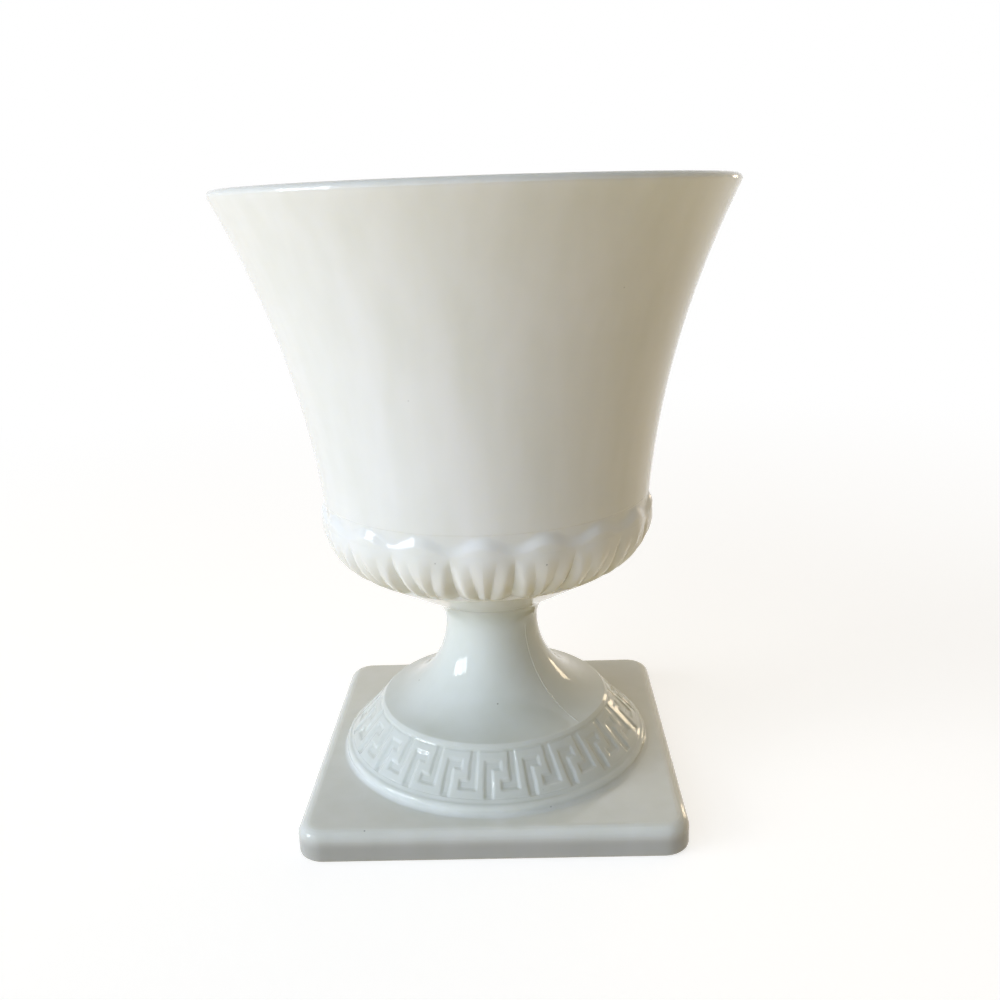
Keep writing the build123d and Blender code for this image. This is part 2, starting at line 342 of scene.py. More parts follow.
def level_centre(start, end):
    """Centre of the arc that leaves start upright and ends at end."""
    across, rise = end[0] - start[0], end[1] - start[1]
    return (start[0] + (across**2 + rise**2) / (2 * across), start[1])


def bow_centre(start, end, bow):
    """Centre of the arc whose middle stands off to the left of the straight way by bow."""
    length = math.dist(start, end)
    left = ((start[1] - end[1]) / length, (end[0] - start[0]) / length)
    return stepped(along(start, end, 0.5), left, -((length / 2) ** 2 - bow**2) / (2 * bow))


class Profile:
    """The closed outline that is turned: rows of radius and height, each with its named values."""

    def __init__(self, start, **values):
        self.points = [start]
        # Rows whose relief goes straight outwards, level with the floor
        self.level_rows = set()
        self.values = {name: [value] for name, value in values.items()}

    def put(self, point, **values):
        """Add a row. A value that isn't given stays as it was."""
        self.points.append(point)
        for name, rows in self.values.items():
            rows.append(values.get(name, rows[-1]))

    def line(self, end, steps=1, **values):
        """Rows along a straight line."""
        start = self.points[-1]
        for step in range(1, steps + 1):
            self.put(along(start, end, step / steps), **values)

    def arc(self, end, centre, steps, **values):
        """Rows along an arc, the short way round its centre."""
        start = self.points[-1]
        first = math.atan2(start[1] - centre[1], start[0] - centre[0])
        last = math.atan2(end[1] - centre[1], end[0] - centre[0])
        sweep = (last - first + math.pi) % TAU - math.pi
        radius = math.dist(start, centre)
        for step in range(1, steps + 1):
            self.put(swung(centre, radius, first + sweep * step / steps), **values)

    def facing(self):
        """Each row's outward direction: square to the outline, or level in the rows that ask for it."""
        last = len(self.points) - 1
        made = []
        for row in range(last + 1):
            if row in self.level_rows:
                made.append((1.0, 0.0, 0.0))
                continue
            before, after = self.points[max(row - 1, 0)], self.points[min(row + 1, last)]
            length = math.dist(before, after)
            made.append(((after[1] - before[1]) / length, 0.0, (before[0] - after[0]) / length))
        return made

    def mesh(self, name):
        """The rows as loose points that carry their values as attributes."""
        made = bpy.data.meshes.new(name)
        made.from_pydata([(radius, 0.0, height) for radius, height in self.points], [], [])
        facing = made.attributes.new("facing", "FLOAT_VECTOR", "POINT")
        facing.data.foreach_set("vector", [number for row in self.facing() for number in row])
        for key, rows in self.values.items():
            made.attributes.new(key, "FLOAT", "POINT").data.foreach_set("value", rows)
        return made


def turning_tree(name, row_values, sizes, shape):
    """A tree that turns a profile's rows round the axis. shape adds the piece's own nodes."""
    tree = bpy.data.node_groups.new(name, "GeometryNodeTree")
    tree.interface.new_socket("Geometry", in_out="INPUT", socket_type="NodeSocketGeometry")
    for size_name, kind in sizes.items():
        tree.interface.new_socket(size_name, in_out="INPUT", socket_type=kind)
    tree.interface.new_socket("Geometry", in_out="OUTPUT", socket_type="NodeSocketGeometry")
    given = add(tree, "NodeGroupInput")
    rows = add(tree, "GeometryNodeAttributeDomainSize", {"Geometry": (given, "Geometry")}, component="MESH")
    rows_out = (rows, "Point Count")

    # One point for each row of the profile and each column round the axis, first and last alike
    columns = reckon(tree, "MULTIPLY", (given, "Repeats"), (given, "Columns each"))
    across = reckon(tree, "ADD", columns, 1.0)
    grid = add(tree, "GeometryNodeMeshGrid", {"Vertices X": across, "Vertices Y": rows_out})
    index = add(tree, "GeometryNodeInputIndex")
    row = reckon(tree, "MODULO", index, rows_out)
    past = reckon(tree, "DIVIDE", index, rows_out)
    column = reckon(tree, "FLOOR", past)

    at_row = {}
    kinds = {"position": "FLOAT_VECTOR", "facing": "FLOAT_VECTOR", **dict.fromkeys(row_values, "FLOAT")}
    for value_name, kind in kinds.items():
        if value_name == "position":
            field = add(tree, "GeometryNodeInputPosition")
        else:
            field = add(tree, "GeometryNodeInputNamedAttribute", {"Name": value_name}, data_type=kind)
        at_row[value_name] = add(
            tree,
            "GeometryNodeSampleIndex",
            {"Geometry": (given, "Geometry"), "Value": field, "Index": row},
            data_type=kind,
            domain="POINT",
        )
    profile = add(tree, "ShaderNodeSeparateXYZ", {0: at_row["position"]})

    # Columns crowd towards each whole repeat in the rows that ask for it
    even = reckon(tree, "DIVIDE", column, (given, "Columns each"))
    wave = reckon(tree, "MULTIPLY", even, TAU)
    wave = reckon(tree, "SINE", wave)
    pull = reckon(tree, "MULTIPLY", at_row["crowding"], -1 / TAU)
    place = reckon(tree, "MULTIPLY_ADD", wave, pull, even)
    pitch = reckon(tree, "DIVIDE", TAU, (given, "Repeats"))
    angle = reckon(tree, "MULTIPLY_ADD", place, pitch, (given, "Start"))
    cosine = reckon(tree, "COSINE", angle)
    sine = reckon(tree, "SINE", angle)

    fields = {"place": place, "pitch": pitch, "angle": angle, "cosine": cosine, "sine": sine}
    fields.update(radius=(profile, "X"), height=(profile, "Z"), rows=at_row, given=given)
    radius, relief = shape(tree, fields)

    # Relief moves a point square to the profile, and the angle then swings it round the axis
    moved = add(
        tree,
        "ShaderNodeVectorMath",
        {0: at_row["facing"], "Scale": relief if relief else 0.0},
        operation="SCALE",
    )
    moved = add(tree, "ShaderNodeSeparateXYZ", {0: moved})
    radius = reckon(tree, "ADD", radius, (moved, "X"))
    height = reckon(tree, "ADD", (profile, "Z"), (moved, "Z"))
    x = reckon(tree, "MULTIPLY", radius, cosine)
    y = reckon(tree, "MULTIPLY", radius, sine)
    point = add(tree, "ShaderNodeCombineXYZ", {0: x, 1: y, 2: height})
    placed = add(tree, "GeometryNodeSetPosition", {"Geometry": (grid, "Mesh"), "Position": point})
    closed = add(tree, "GeometryNodeMergeByDistance", {"Geometry": placed, "Distance": SAME_POINT})
    bend = add(tree, "GeometryNodeInputMeshEdgeAngle")
    crease = add(
        tree,
        "FunctionNodeCompare",
        {0: (bend, "Unsigned Angle"), 1: (given, "Crease")},
        data_type="FLOAT",
        operation="GREATER_THAN",
    )
    smooth = add(
        tree,
        "GeometryNodeSetShadeSmooth",
        {"Geometry": closed, "Selection": crease, "Shade Smooth": False},
        domain="EDGE",
    )
    real = add(tree, "GeometryNodeRealizeInstances", {"Geometry": smooth})
    finished = add(tree, "GeometryNodeSetMaterial", {"Geometry": real, "Material": (given, "Material")})
    add(tree, "NodeGroupOutput", {"Geometry": finished})
    return tree


# Depth of a groove in the rows that it doesn't reach: it lies well above the skin there
NO_CUT = -3 * MM
# Distance of the rows that stand beside a sharp edge, so that its shading stays crisp
SUPPORT = 0.25 * MM

COMMON_SIZES = {
    "Repeats": "NodeSocketInt",
    "Columns each": "NodeSocketInt",
    "Start": "NodeSocketFloat",
    "Crease": "NodeSocketFloat",
    "Material": "NodeSocketMaterial",
}


def turned_piece(name, tree, profile, values):
    """Run the tree on the profile and keep the result as a plain mesh at the origin."""
    rough = bpy.data.objects.new(name + "_rows", profile.mesh(name + "_rows"))
    bpy.context.scene.collection.objects.link(rough)
    modifier = rough.modifiers.new("Turning", "NODES")
    modifier.node_group = tree
    for item in tree.interface.items_tree:
        if item.in_out == "INPUT" and item.name in values:
            modifier[item.identifier] = values[item.name]
    graph = bpy.context.evaluated_depsgraph_get()
    mesh = bpy.data.meshes.new_from_object(rough.evaluated_get(graph), depsgraph=graph)
    mesh.name = name
    piece = bpy.data.objects.new(name, mesh)
    bpy.context.scene.collection.objects.link(piece)
    bpy.data.objects.remove(rough)
    if not mesh.polygons:
        raise RuntimeError(f"{name} came out empty")
    return piece


def plain(tree, fields):
    """A turned piece with no relief."""
    return fields["radius"], None


def rounded_square(tree, fields):
    """Distance from the axis to the plinth's outline, a square with round corners, at each column."""
    given = fields["given"]
    side = fields["radius"]
    across = reckon(tree, "ABSOLUTE", fields["cosine"])
    along_y = reckon(tree, "ABSOLUTE", fields["sine"])
    major = reckon(tree, "MAXIMUM", across, along_y)
    minor = reckon(tree, "MINIMUM", across, along_y)
    to_side = reckon(tree, "DIVIDE", side, major)
    offset = reckon(tree, "MULTIPLY", to_side, minor)
    in_corner = reckon(tree, "GREATER_THAN", offset, (given, "Corner centre"))
    # The corner's arc has its centre this far out along both axes
    both = reckon(tree, "ADD", major, minor)
    middle = reckon(tree, "MULTIPLY", both, (given, "Corner centre"))
    middle_squared = reckon(tree, "MULTIPLY", middle, middle)
    corner = reckon(tree, "SUBTRACT", side, (given, "Corner centre"))
    room = reckon(tree, "MULTIPLY_ADD", corner, corner, middle_squared)
    reach = reckon(tree, "MULTIPLY", (given, "Corner centre"), (given, "Corner centre"))
    room = reckon(tree, "MULTIPLY_ADD", reach, -2.0, room)
    half = reckon(tree, "SQRT", room)
    to_corner = reckon(tree, "ADD", middle, half)
    outline = add(
        tree, "ShaderNodeMix", {0: in_corner, "A": to_side, "B": to_corner}, data_type="FLOAT"
    )
    return add(
        tree, "ShaderNodeMix", {0: fields["rows"]["square"], "A": side, "B": outline}, data_type="FLOAT"
    )


# The key's strokes in one unit, as cells across and cells down: first, last, top, bottom.
# The last two belong to the neighbours, and join them to this unit.
KEY_STROKES = (
    (0, 1, 0, 5),
    (0, 4, 0, 1),
    (3, 4, 0, 3),
    (2, 4, 2, 3),
    (2, 3, 2, 5),
    (2, 6, 4, 5),
    (5, 6, 0, 5),
    (-3, 1, 4, 5),
)
KEY_CELLS = 5


def key_relief(tree, fields):
    """The running key: its ground lies below the collar, and the mould seam stands proud of the stem."""
    given, rows = fields["given"], fields["rows"]
    cell = reckon(tree, "WRAP", fields["place"], float(KEY_CELLS), 0.0)
    here = add(tree, "ShaderNodeCombineXYZ", {0: cell, 1: rows["key_row"]})
    nearest = None
    for first, last, top, bottom in KEY_STROKES:
        middle = ((first + last) / 2, (top + bottom) / 2, 0.0)
        half = ((last - first) / 2, (bottom - top) / 2, 0.0)
        away = add(tree, "ShaderNodeVectorMath", {0: here, 1: middle}, operation="SUBTRACT")
        away = add(tree, "ShaderNodeVectorMath", {0: away}, operation="ABSOLUTE")
        away = add(tree, "ShaderNodeVectorMath", {0: away, 1: half}, operation="SUBTRACT")
        away = add(tree, "ShaderNodeSeparateXYZ", {0: away})
        away = reckon(tree, "SMOOTH_MAX", (away, "X"), (away, "Y"), (given, "Key corners"))
        if nearest:
            away = reckon(tree, "SMOOTH_MIN", nearest, away, (given, "Key corners"))
        nearest = away
    inner = reckon(tree, "MULTIPLY", (given, "Key edge"), -1.0)
    ground = ease(tree, nearest, inner, (given, "Key edge"))
    ground = reckon(tree, "MULTIPLY", ground, rows["key_window"])
    sunk = reckon(tree, "MULTIPLY", ground, (given, "Key relief"))

    # The mould opens in two halves, so its seam lies on both sides in one plane through the axis
    turned = reckon(tree, "SUBTRACT", fields["angle"], (given, "Seam"))
    beside = reckon(tree, "SINE", turned)
    beside = reckon(tree, "MULTIPLY", beside, fields["radius"])
    beside = reckon(tree, "ABSOLUTE", beside)
    ridge = add(
        tree,
        "ShaderNodeMapRange",
        {
            "Value": beside,
            "From Min": 0.0,
            "From Max": (given, "Seam half width"),
            "To Min": (given, "Seam rise"),
            "To Max": 0.0,
        },
    )
    ridge = reckon(tree, "MULTIPLY", ridge, rows["seam"])
    return reckon(tree, "SUBTRACT", ridge, sunk)


def foot_shape(tree, fields):
    """The foot is square at its plinth, and carries the key and the mould seam."""
    return rounded_square(tree, fields), key_relief(tree, fields)


def leaf_relief(tree, fields):
    """Leaves that swell beyond the belt, with gaps between them and two valleys beside each rib."""
    given, rows = fields["given"], fields["rows"]
    phase = reckon(tree, "WRAP", fields["place"], 0.5, -0.5)
    aside = reckon(tree, "ABSOLUTE", phase)
    leaf_width = reckon(tree, "MULTIPLY", fields["pitch"], fields["radius"])

    cuts = []
    for word, spot in (("Gap", 0.5), ("Valley", rows["spread"])):
        away = reckon(tree, "SUBTRACT", aside, spot)
        away = reckon(tree, "ABSOLUTE", away)
        away = reckon(tree, "MULTIPLY", away, leaf_width)
        away = reckon(tree, "MULTIPLY", away, rows[word.lower() + "_flank"])
        cuts.append(reckon(tree, "SUBTRACT", rows[word.lower()], away))
    both = reckon(tree, "SMOOTH_MAX", cuts[0], cuts[1], (given, "Softening"))
    cut = reckon(tree, "SMOOTH_MAX", both, 0.0, (given, "Softening"))

    # A leaf swells across its width: fall is nothing at its middle and one at its sides
    fall = reckon(tree, "MULTIPLY", aside, math.pi)
    fall = reckon(tree, "SINE", fall)
    fall = reckon(tree, "MULTIPLY", fall, fall)
    full = reckon(tree, "SUBTRACT", 1.0, fall)
    crown = reckon(tree, "MULTIPLY", full, rows["crown"])

    # Its top falls away towards its sides, and there the wall rounds back to the flare
    top = reckon(tree, "MULTIPLY", fall, (given, "Leaf arch"))
    top = reckon(tree, "SUBTRACT", (given, "Leaf top"), top)
    above = reckon(tree, "SUBTRACT", fields["height"], top)
    below = reckon(tree, "MULTIPLY", (given, "Leaf edge"), -1.0)
    back = ease(tree, above, below, 0.0)
    step = reckon(tree, "MULTIPLY", rows["step"], -1.0)
    skin = add(tree, "ShaderNodeMix", {"Factor": back, "A": crown, "B": step}, data_type="FLOAT")
    return reckon(tree, "SUBTRACT", skin, cut)


def bowl_shape(tree, fields):
    """The bowl is round, and carries the leaves."""
    return fields["radius"], leaf_relief(tree, fields)


# The ring's section, as shares of its width and of its rise
RING_SHARES = (
    (0.06, 0.4), (0.16, 0.85), (0.3, 1.0), (0.5, 1.05), (0.7, 1.0), (0.84, 0.85), (0.94, 0.4), (1.0, 0.0)
)
# Columns in one cell of the key, in one leaf and round the plain wafer
CELL_COLUMNS, LEAF_COLUMNS, WAFER_COLUMNS = 6, 36, 256
# Rows in one cell of the key, and how many of them its relief takes to come in at the bottom
CELL_ROWS, FADE_ROWS = 6, 3
# How strongly the key's columns and rows crowd towards its edges
COLUMN_CROWDING, ROW_CROWDING = 0.6, 0.8


def foot_profile(sizes):
    """The foot's rows: down inside the hollow, out and round the plinth, then up the stem to the seat."""
    half, thickness = sizes.plinth_side / 2, sizes.plinth_thickness
    top_round, low_round = sizes.plinth_top_round, sizes.plinth_bottom_round
    collar_bottom = (sizes.bead_ring - sizes.collar_inset, thickness + sizes.collar_foot)
    collar_top = (collar_bottom[0] - sizes.collar_run, collar_bottom[1] + sizes.collar_rise)
    collar_length = math.dist(collar_top, collar_bottom)
    collar_down = (sizes.collar_run / collar_length, -sizes.collar_rise / collar_length)
    collar_out = (sizes.collar_rise / collar_length, sizes.collar_run / collar_length)
    ring_lower = stepped(collar_top, collar_down, -sizes.ring_gap)
    ring_upper = stepped(ring_lower, collar_down, -sizes.ring_width)
    neck = (sizes.neck_radius, sizes.foot_height - sizes.neck_drop)
    seat_edge = (sizes.neck_radius + sizes.neck_flare, sizes.foot_height)
    stem_centre = level_centre(neck, ring_upper)

    mouth_radius = sizes.bead_ring - sizes.mouth_wall
    inner_bottom = stepped(collar_bottom, collar_out, -sizes.wall)
    inner_top = stepped(ring_lower, collar_out, -sizes.wall)
    mouth_part = (mouth_radius - inner_top[0]) / (inner_bottom[0] - inner_top[0])
    shoulder = along(inner_top, inner_bottom, mouth_part)
    hollow_top = sizes.foot_height - sizes.stem_core
    flank_level = hollow_top - sizes.hollow_top_rise
    flank_reach = stem_centre[0] - neck[0] + sizes.wall
    flank_end = (stem_centre[0] - math.sqrt(flank_reach**2 - (neck[1] - flank_level) ** 2), flank_level)
    top_curve = (flank_end[0] ** 2 + sizes.hollow_top_rise**2) / (2 * sizes.hollow_top_rise)

    rows = Profile((0.0, hollow_top), crowding=0.0, square=0.0, key_row=0.0, key_window=0.0, seam=0.0)
    rows.arc(flank_end, (0.0, hollow_top - top_curve), steps=6)
    rows.arc(inner_top, stem_centre, steps=6)
    rows.line(shoulder)
    rows.line((mouth_radius, 0.0))
    rows.line((half - low_round, 0.0), square=1.0)
    rows.arc((half, low_round), (half - low_round, low_round), steps=3)
    rows.line((half, thickness - top_round))
    rows.arc((half - top_round, thickness), (half - top_round, thickness - top_round), steps=6)

    bead = (sizes.bead_ring, thickness + sizes.bead_radius)
    bead_reach = sizes.bead_radius + sizes.bead_fillet
    # One fillet touches the plinth's top and the bead, the other the bead and the collar's slope
    low_out = math.sqrt(bead_reach**2 - (sizes.bead_radius - sizes.bead_fillet) ** 2)
    low_fillet = (bead[0] + low_out, thickness + sizes.bead_fillet)
    to_slope = (collar_bottom[0] - bead[0]) * collar_out[0] + (collar_bottom[1] - bead[1]) * collar_out[1]
    slope_out = to_slope + sizes.bead_fillet
    up_slope = math.sqrt(bead_reach**2 - slope_out**2)
    high_fillet = stepped(stepped(bead, collar_out, slope_out), collar_down, -up_slope)
    touch = sizes.bead_radius / bead_reach
    rows.line((low_fillet[0], thickness), square=0.0)
    rows.arc(along(bead, low_fillet, touch), low_fillet, steps=5)
    rows.arc(along(bead, high_fillet, touch), bead, steps=9)
    on_slope = stepped(high_fillet, collar_out, -sizes.bead_fillet)
    rows.arc(on_slope, high_fillet, steps=4, crowding=COLUMN_CROWDING)
    rows.line(collar_bottom, key_row=float(KEY_CELLS))
    for step in range(1, KEY_CELLS * CELL_ROWS + 1):
        even = step / CELL_ROWS
        cells_up = even - ROW_CROWDING * math.sin(TAU * even) / TAU
        point = along(collar_bottom, collar_top, cells_up / KEY_CELLS)
        relief_share = 1 + (sizes.key_top - 1) * cells_up / KEY_CELLS
        rows.put(point, key_row=KEY_CELLS - cells_up, key_window=relief_share * min(step / FADE_ROWS, 1))
    rows.line(ring_lower, key_window=0.0)
    for part, rise_share in RING_SHARES:
        spot = along(ring_lower, ring_upper, part)
        rows.put(stepped(spot, collar_out, sizes.ring_rise * rise_share), crowding=0.0)
    rows.arc(neck, stem_centre, steps=46, seam=1.0)
    rows.arc(seat_edge, level_centre(neck, seat_edge), steps=12, seam=0.0)
    rows.line((0.0, sizes.foot_height))
    return rows


def wafer_profile(sizes):
    """The wafer's rows, out along its underside, up its swelling edge and in along its top."""
    lower, upper = (sizes.lower_radius, wafer_low.z), (sizes.upper_radius, wafer_high.z)
    rows = Profile((0.0, lower[1]), crowding=0.0)
    rows.line((lower[0] - SUPPORT, lower[1]))
    rows.line(lower)
    rows.arc(upper, bow_centre(lower, upper, -sizes.bulge), steps=12)
    rows.line((0.0, upper[1]))
    return rows


def bowl_profile(sizes):
    """The bowl's rows, out along its seat, up the outside, over the lip and down to the floor's middle."""
    seat, rim = bowl_low.z, bowl_high.z
    seat_edge = (sizes.seat_radius, seat)
    belt_low = (sizes.belt_radius, seat + sizes.belt_level)
    belt_high = (sizes.belt_radius, belt_low[1] + sizes.belt_height)
    waist = (sizes.belt_radius - sizes.waist_inset, belt_high[1] + sizes.waist_rise)
    corner = (sizes.belt_radius - sizes.corner_radius, belt_low[1])
    sight = math.dist(seat_edge, corner)
    aim = math.atan2(corner[1] - seat_edge[1], corner[0] - seat_edge[0])
    slope = aim - math.asin(sizes.corner_radius / sight)
    under_end = swung(corner, sizes.corner_radius, slope - math.pi / 2)
    half_lip = sizes.lip / 2
    lip_middle = (sizes.rim_radius - half_lip, rim - half_lip)
    lip_out, lip_in = swung(lip_middle, half_lip, 0.0), swung(lip_middle, half_lip, math.pi)
    flare_centre = bow_centre(waist, lip_out, sizes.flare_bow)
    flare_reach = math.dist(flare_centre, waist)

    # Each groove's bottom follows a circle, from its top through its deepest place to its blunt end
    grooves = {}
    for word, top, depth, end_depth in (
        ("gap", (sizes.belt_radius, belt_high[1] - sizes.gap_drop), sizes.gap_depth, sizes.gap_end_depth),
        (
            "valley",
            (sizes.belt_radius, belt_low[1] + sizes.valley_rise),
            sizes.valley_depth,
            sizes.valley_end_depth,
        ),
    ):
        deepest = swung(corner, sizes.corner_radius - depth, -sizes.groove_deepest)
        end = swung(corner, sizes.corner_radius - end_depth, slope - math.pi / 2)
        grooves[word] = (*circle_through(top, deepest, end), top[1])
    groove_foot = stepped(under_end, (-math.cos(slope), -math.sin(slope)), sizes.groove_run)

    rows = Profile(
        (0.0, seat),
        crowding=0.0,
        gap=NO_CUT,
        gap_flank=0.0,
        valley=NO_CUT,
        valley_flank=0.0,
        spread=0.0,
        step=0.0,
        crown=0.0,
    )
    rows.line((sizes.seat_radius - SUPPORT, seat))
    rows.line(seat_edge)
    rows.line(stepped(seat_edge, (math.cos(slope), math.sin(slope)), SUPPORT))
    rows.line(groove_foot, steps=14)
    first_groove = len(rows.points)
    rows.line(under_end, steps=3)
    rows.arc(belt_low, corner, steps=26)
    rows.line(belt_high, steps=6)
    rows.line((sizes.belt_radius, waist[1] - SUPPORT), steps=15)
    for row in range(first_groove, len(rows.points)):
        radius, height = rows.points[row]
        for word, (centre, reach, top_level) in grooves.items():
            cut = math.dist(rows.points[row], centre) - reach
            rows.values[word][row] = cut if height < top_level else min(cut, 0.0)
        up = min((height - groove_foot[1]) / (belt_low[1] - groove_foot[1]), 1.0)
        spread = sizes.valley_meeting + (sizes.valley_spread - sizes.valley_meeting) * up
        rows.values["spread"][row] = spread
        gap_half = sizes.gap_half_width + (sizes.gap_top_half_width - sizes.gap_half_width) * up
        valley_half = spread * radius * TAU / sizes.leaf_count
        rows.values["gap_flank"][row] = max(rows.values["gap"][row], 0.0) / gap_half
        rows.values["valley_flank"][row] = max(rows.values["valley"][row], 0.0) / valley_half
        rows.values["crown"][row] = sizes.leaf_crown * math.sin(up * math.pi / 2) ** 2
        flare_here = flare_centre[0] - math.sqrt(flare_reach**2 - (height - flare_centre[1]) ** 2)
        rows.values["step"][row] = max(radius - flare_here, 0.0) if height > belt_low[1] else 0.0
        if height > belt_low[1]:
            rows.level_rows.add(row)
    rows.put(waist, gap=NO_CUT, gap_flank=0.0, valley=NO_CUT, valley_flank=0.0, step=0.0, crown=0.0)
    rows.arc(lip_out, flare_centre, steps=24)
    rows.arc(swung(lip_middle, half_lip, math.pi / 2), lip_middle, steps=5)
    rows.arc(lip_in, lip_middle, steps=5)

    inside_low = (waist[0] - sizes.wall, belt_low[1])
    rows.arc(inside_low, level_centre(inside_low, lip_in), steps=18)
    inner = (inside_low[0] - sizes.inside_corner, inside_low[1])
    floor = inner[1] - sizes.inside_corner - sizes.floor_dip
    floor_curve = (inner[0] ** 2 + (inner[1] - floor) ** 2 - sizes.inside_corner**2) / (2 * sizes.floor_dip)
    floor_aim = math.atan2(inner[1] - floor - floor_curve, inner[0])
    rows.arc(swung(inner, sizes.inside_corner, floor_aim), inner, steps=10)
    rows.arc((0.0, floor), (0.0, floor + floor_curve), steps=8)
    return rows


def circle_through(first, second, third):
    """Centre and radius of the circle through three points."""
    (ax, ay), (bx, by), (cx, cy) = first, second, third
    area = 2 * (ax * (by - cy) + bx * (cy - ay) + cx * (ay - by))
    a, b, c = ax**2 + ay**2, bx**2 + by**2, cx**2 + cy**2
    centre = (
        (a * (by - cy) + b * (cy - ay) + c * (ay - by)) / area,
        (a * (cx - bx) + b * (ax - cx) + c * (bx - ax)) / area,
    )
    return centre, math.dist(centre, first)


def milk_glass(name, finish, chill_share, layers=()):
    """Opal glass, pressed and fire-polished: the colour is in the glass, with painted light and shade in some
    layers, and only the surface shines.

    Each layer is another colour, with the heights over which it comes in. The foot's greyer colour below the
    joint is painted shade; the slab's layers are painted light on its top and painted shade on its sides.
    """
    material = bpy.data.materials.new(name)
    material.use_nodes = True
    tree = material.node_tree
    tree.nodes.clear()
    place = (add(tree, "ShaderNodeTexCoord"), "Object")
    level = add(tree, "ShaderNodeSeparateXYZ", {0: place})
    # The foot's greyer colour below the joint is painted shade
    neck = (finish.foot, wafer_high.z + finish.neck_blend, wafer_low.z - finish.neck_blend)

    # Slow swirls where the melt was folded, and faint upright streaks that the plunger drew
    swirl = add(
        tree,
        "ShaderNodeTexNoise",
        {"Vector": place, "Scale": 1 / finish.swirl_size, "Detail": 3.0, "Distortion": 0.7},
    )
    drawn = add(tree, "ShaderNodeMapping", {"Vector": place, "Scale": (1.0, 1.0, finish.streak_share)})
    streak = add(
        tree, "ShaderNodeTexNoise", {"Vector": drawn, "Scale": 1 / finish.streak_size, "Detail": 2.0}
    )
    mixed = reckon(tree, "ADD", swirl, streak)
    cloud = add(
        tree,
        "ShaderNodeMapRange",
        {"Value": mixed, "From Min": finish.cloud_from, "From Max": finish.cloud_to},
    )
    shade = finish.body
    for other, other_from, other_to in (neck, *layers):
        part = ease(tree, (level, "Z"), other_from, other_to)
        shade = add(tree, "ShaderNodeMix", {"Factor": part, "A": shade, "B": other}, data_type="RGBA")
    shade = add(
        tree,
        "ShaderNodeMix",
        {"Factor": cloud, "A": shade, "B": finish.swirl},
        data_type="RGBA",
        blend_type="MULTIPLY",
    )

    # Seeds: bubbles that the polish opened at the surface, as rare shallow pits with painted shade, grey at
    # their bottoms
    seeds = add(tree, "ShaderNodeTexVoronoi", {"Vector": place, "Scale": 1 / finish.seed_spacing})
    pit_and_shade = ease(tree, (seeds, "Distance"), 0.0, finish.seed_radius / finish.seed_spacing, 1.0, 0.0)
    shade = add(tree, "ShaderNodeMix", {"Factor": pit_and_shade, "A": shade, "B": finish.seed}, data_type="RGBA")

    # Handling has dulled the polish in soft patches
    patch = add(tree, "ShaderNodeTexNoise", {"Vector": place, "Scale": 1 / finish.patch_size, "Detail": 4.0})
    rough = ease(
        tree, patch, finish.patch_from, finish.patch_to, finish.roughness, finish.roughness + finish.dulling
    )

    # Heights in metres: slow waves, chill marks and the seeds' pits
    wave = add(tree, "ShaderNodeTexNoise", {"Vector": place, "Scale": 1 / finish.wave_size, "Detail": 1.0})
    chill = add(tree, "ShaderNodeTexNoise", {"Vector": place, "Scale": 1 / finish.chill_size, "Detail": 2.0})
    rise = reckon(tree, "MULTIPLY", wave, finish.wave_height)
    rise = reckon(tree, "MULTIPLY_ADD", chill, finish.chill_height * chill_share, rise)
    rise = reckon(tree, "MULTIPLY_ADD", pit_and_shade, -finish.seed_depth, rise)
    bump = add(tree, "ShaderNodeBump", {"Height": rise, "Strength": 1.0, "Distance": 1.0})

    # Light spreads inside the glass, but not across the joint, where the pieces only touch
    from_joint = reckon(tree, "SUBTRACT", (level, "Z"), (wafer_low.z + wafer_high.z) / 2)
    from_joint = reckon(tree, "ABSOLUTE", from_joint)
    spread = ease(tree, from_joint, finish.joint_near, finish.joint_far, 0.0, finish.bleed_share)

    glass = add(
        tree,
        "ShaderNodeBsdfPrincipled",
        {
            "Base Color": shade,
            "Roughness": rough,
            "IOR": finish.ior,
            "Normal": bump,
            "Subsurface Weight": spread,
            "Subsurface Radius": BLEED_SHARES,
            "Subsurface Scale": finish.bleed,
        },
    )
    add(tree, "ShaderNodeOutputMaterial", {"Surface": glass})
    return material


def to_the_eye(tree):
    """One for a ray to the eye, straight, mirrored or through clear glass, and nothing for other rays."""
    path = add(tree, "ShaderNodeLightPath")
    shown = reckon(tree, "MAXIMUM", (path, "Is Camera Ray"), (path, "Is Glossy Ray"))
    return reckon(tree, "MAXIMUM", shown, (path, "Is Transmission Ray"))


def paper_floor(studio):
    """Matt pale paper to the eye, with the vase's shadow, that fades to plain white further out.

    The light that it sends up to the glass has the table's warm colour.
    """
    material = bpy.data.materials.new("matt_paper")
    material.use_nodes = True
    tree = material.node_tree
    tree.nodes.clear()
    matt = add(tree, "ShaderNodeBsdfDiffuse", {"Color": studio.floor})
    warm = add(tree, "ShaderNodeBsdfDiffuse", {"Color": studio.bounce})
    lift = add(tree, "ShaderNodeEmission", {"Strength": studio.floor_lift})
    lifted = add(tree, "ShaderNodeAddShader", {0: matt, 1: lift})
    white = add(tree, "ShaderNodeEmission", {"Strength": 1.0})
    place = (add(tree, "ShaderNodeTexCoord"), "Object")
    away = add(tree, "ShaderNodeVectorMath", {0: place}, operation="LENGTH")
    fade = ease(tree, (away, "Value"), studio.paper_near, studio.paper_far)
    seen = add(tree, "ShaderNodeMixShader", {0: fade, 1: lifted, 2: white})
    floor = add(tree, "ShaderNodeMixShader", {0: to_the_eye(tree), 1: warm, 2: seen})
    add(tree, "ShaderNodeOutputMaterial", {"Surface": floor})
    return material


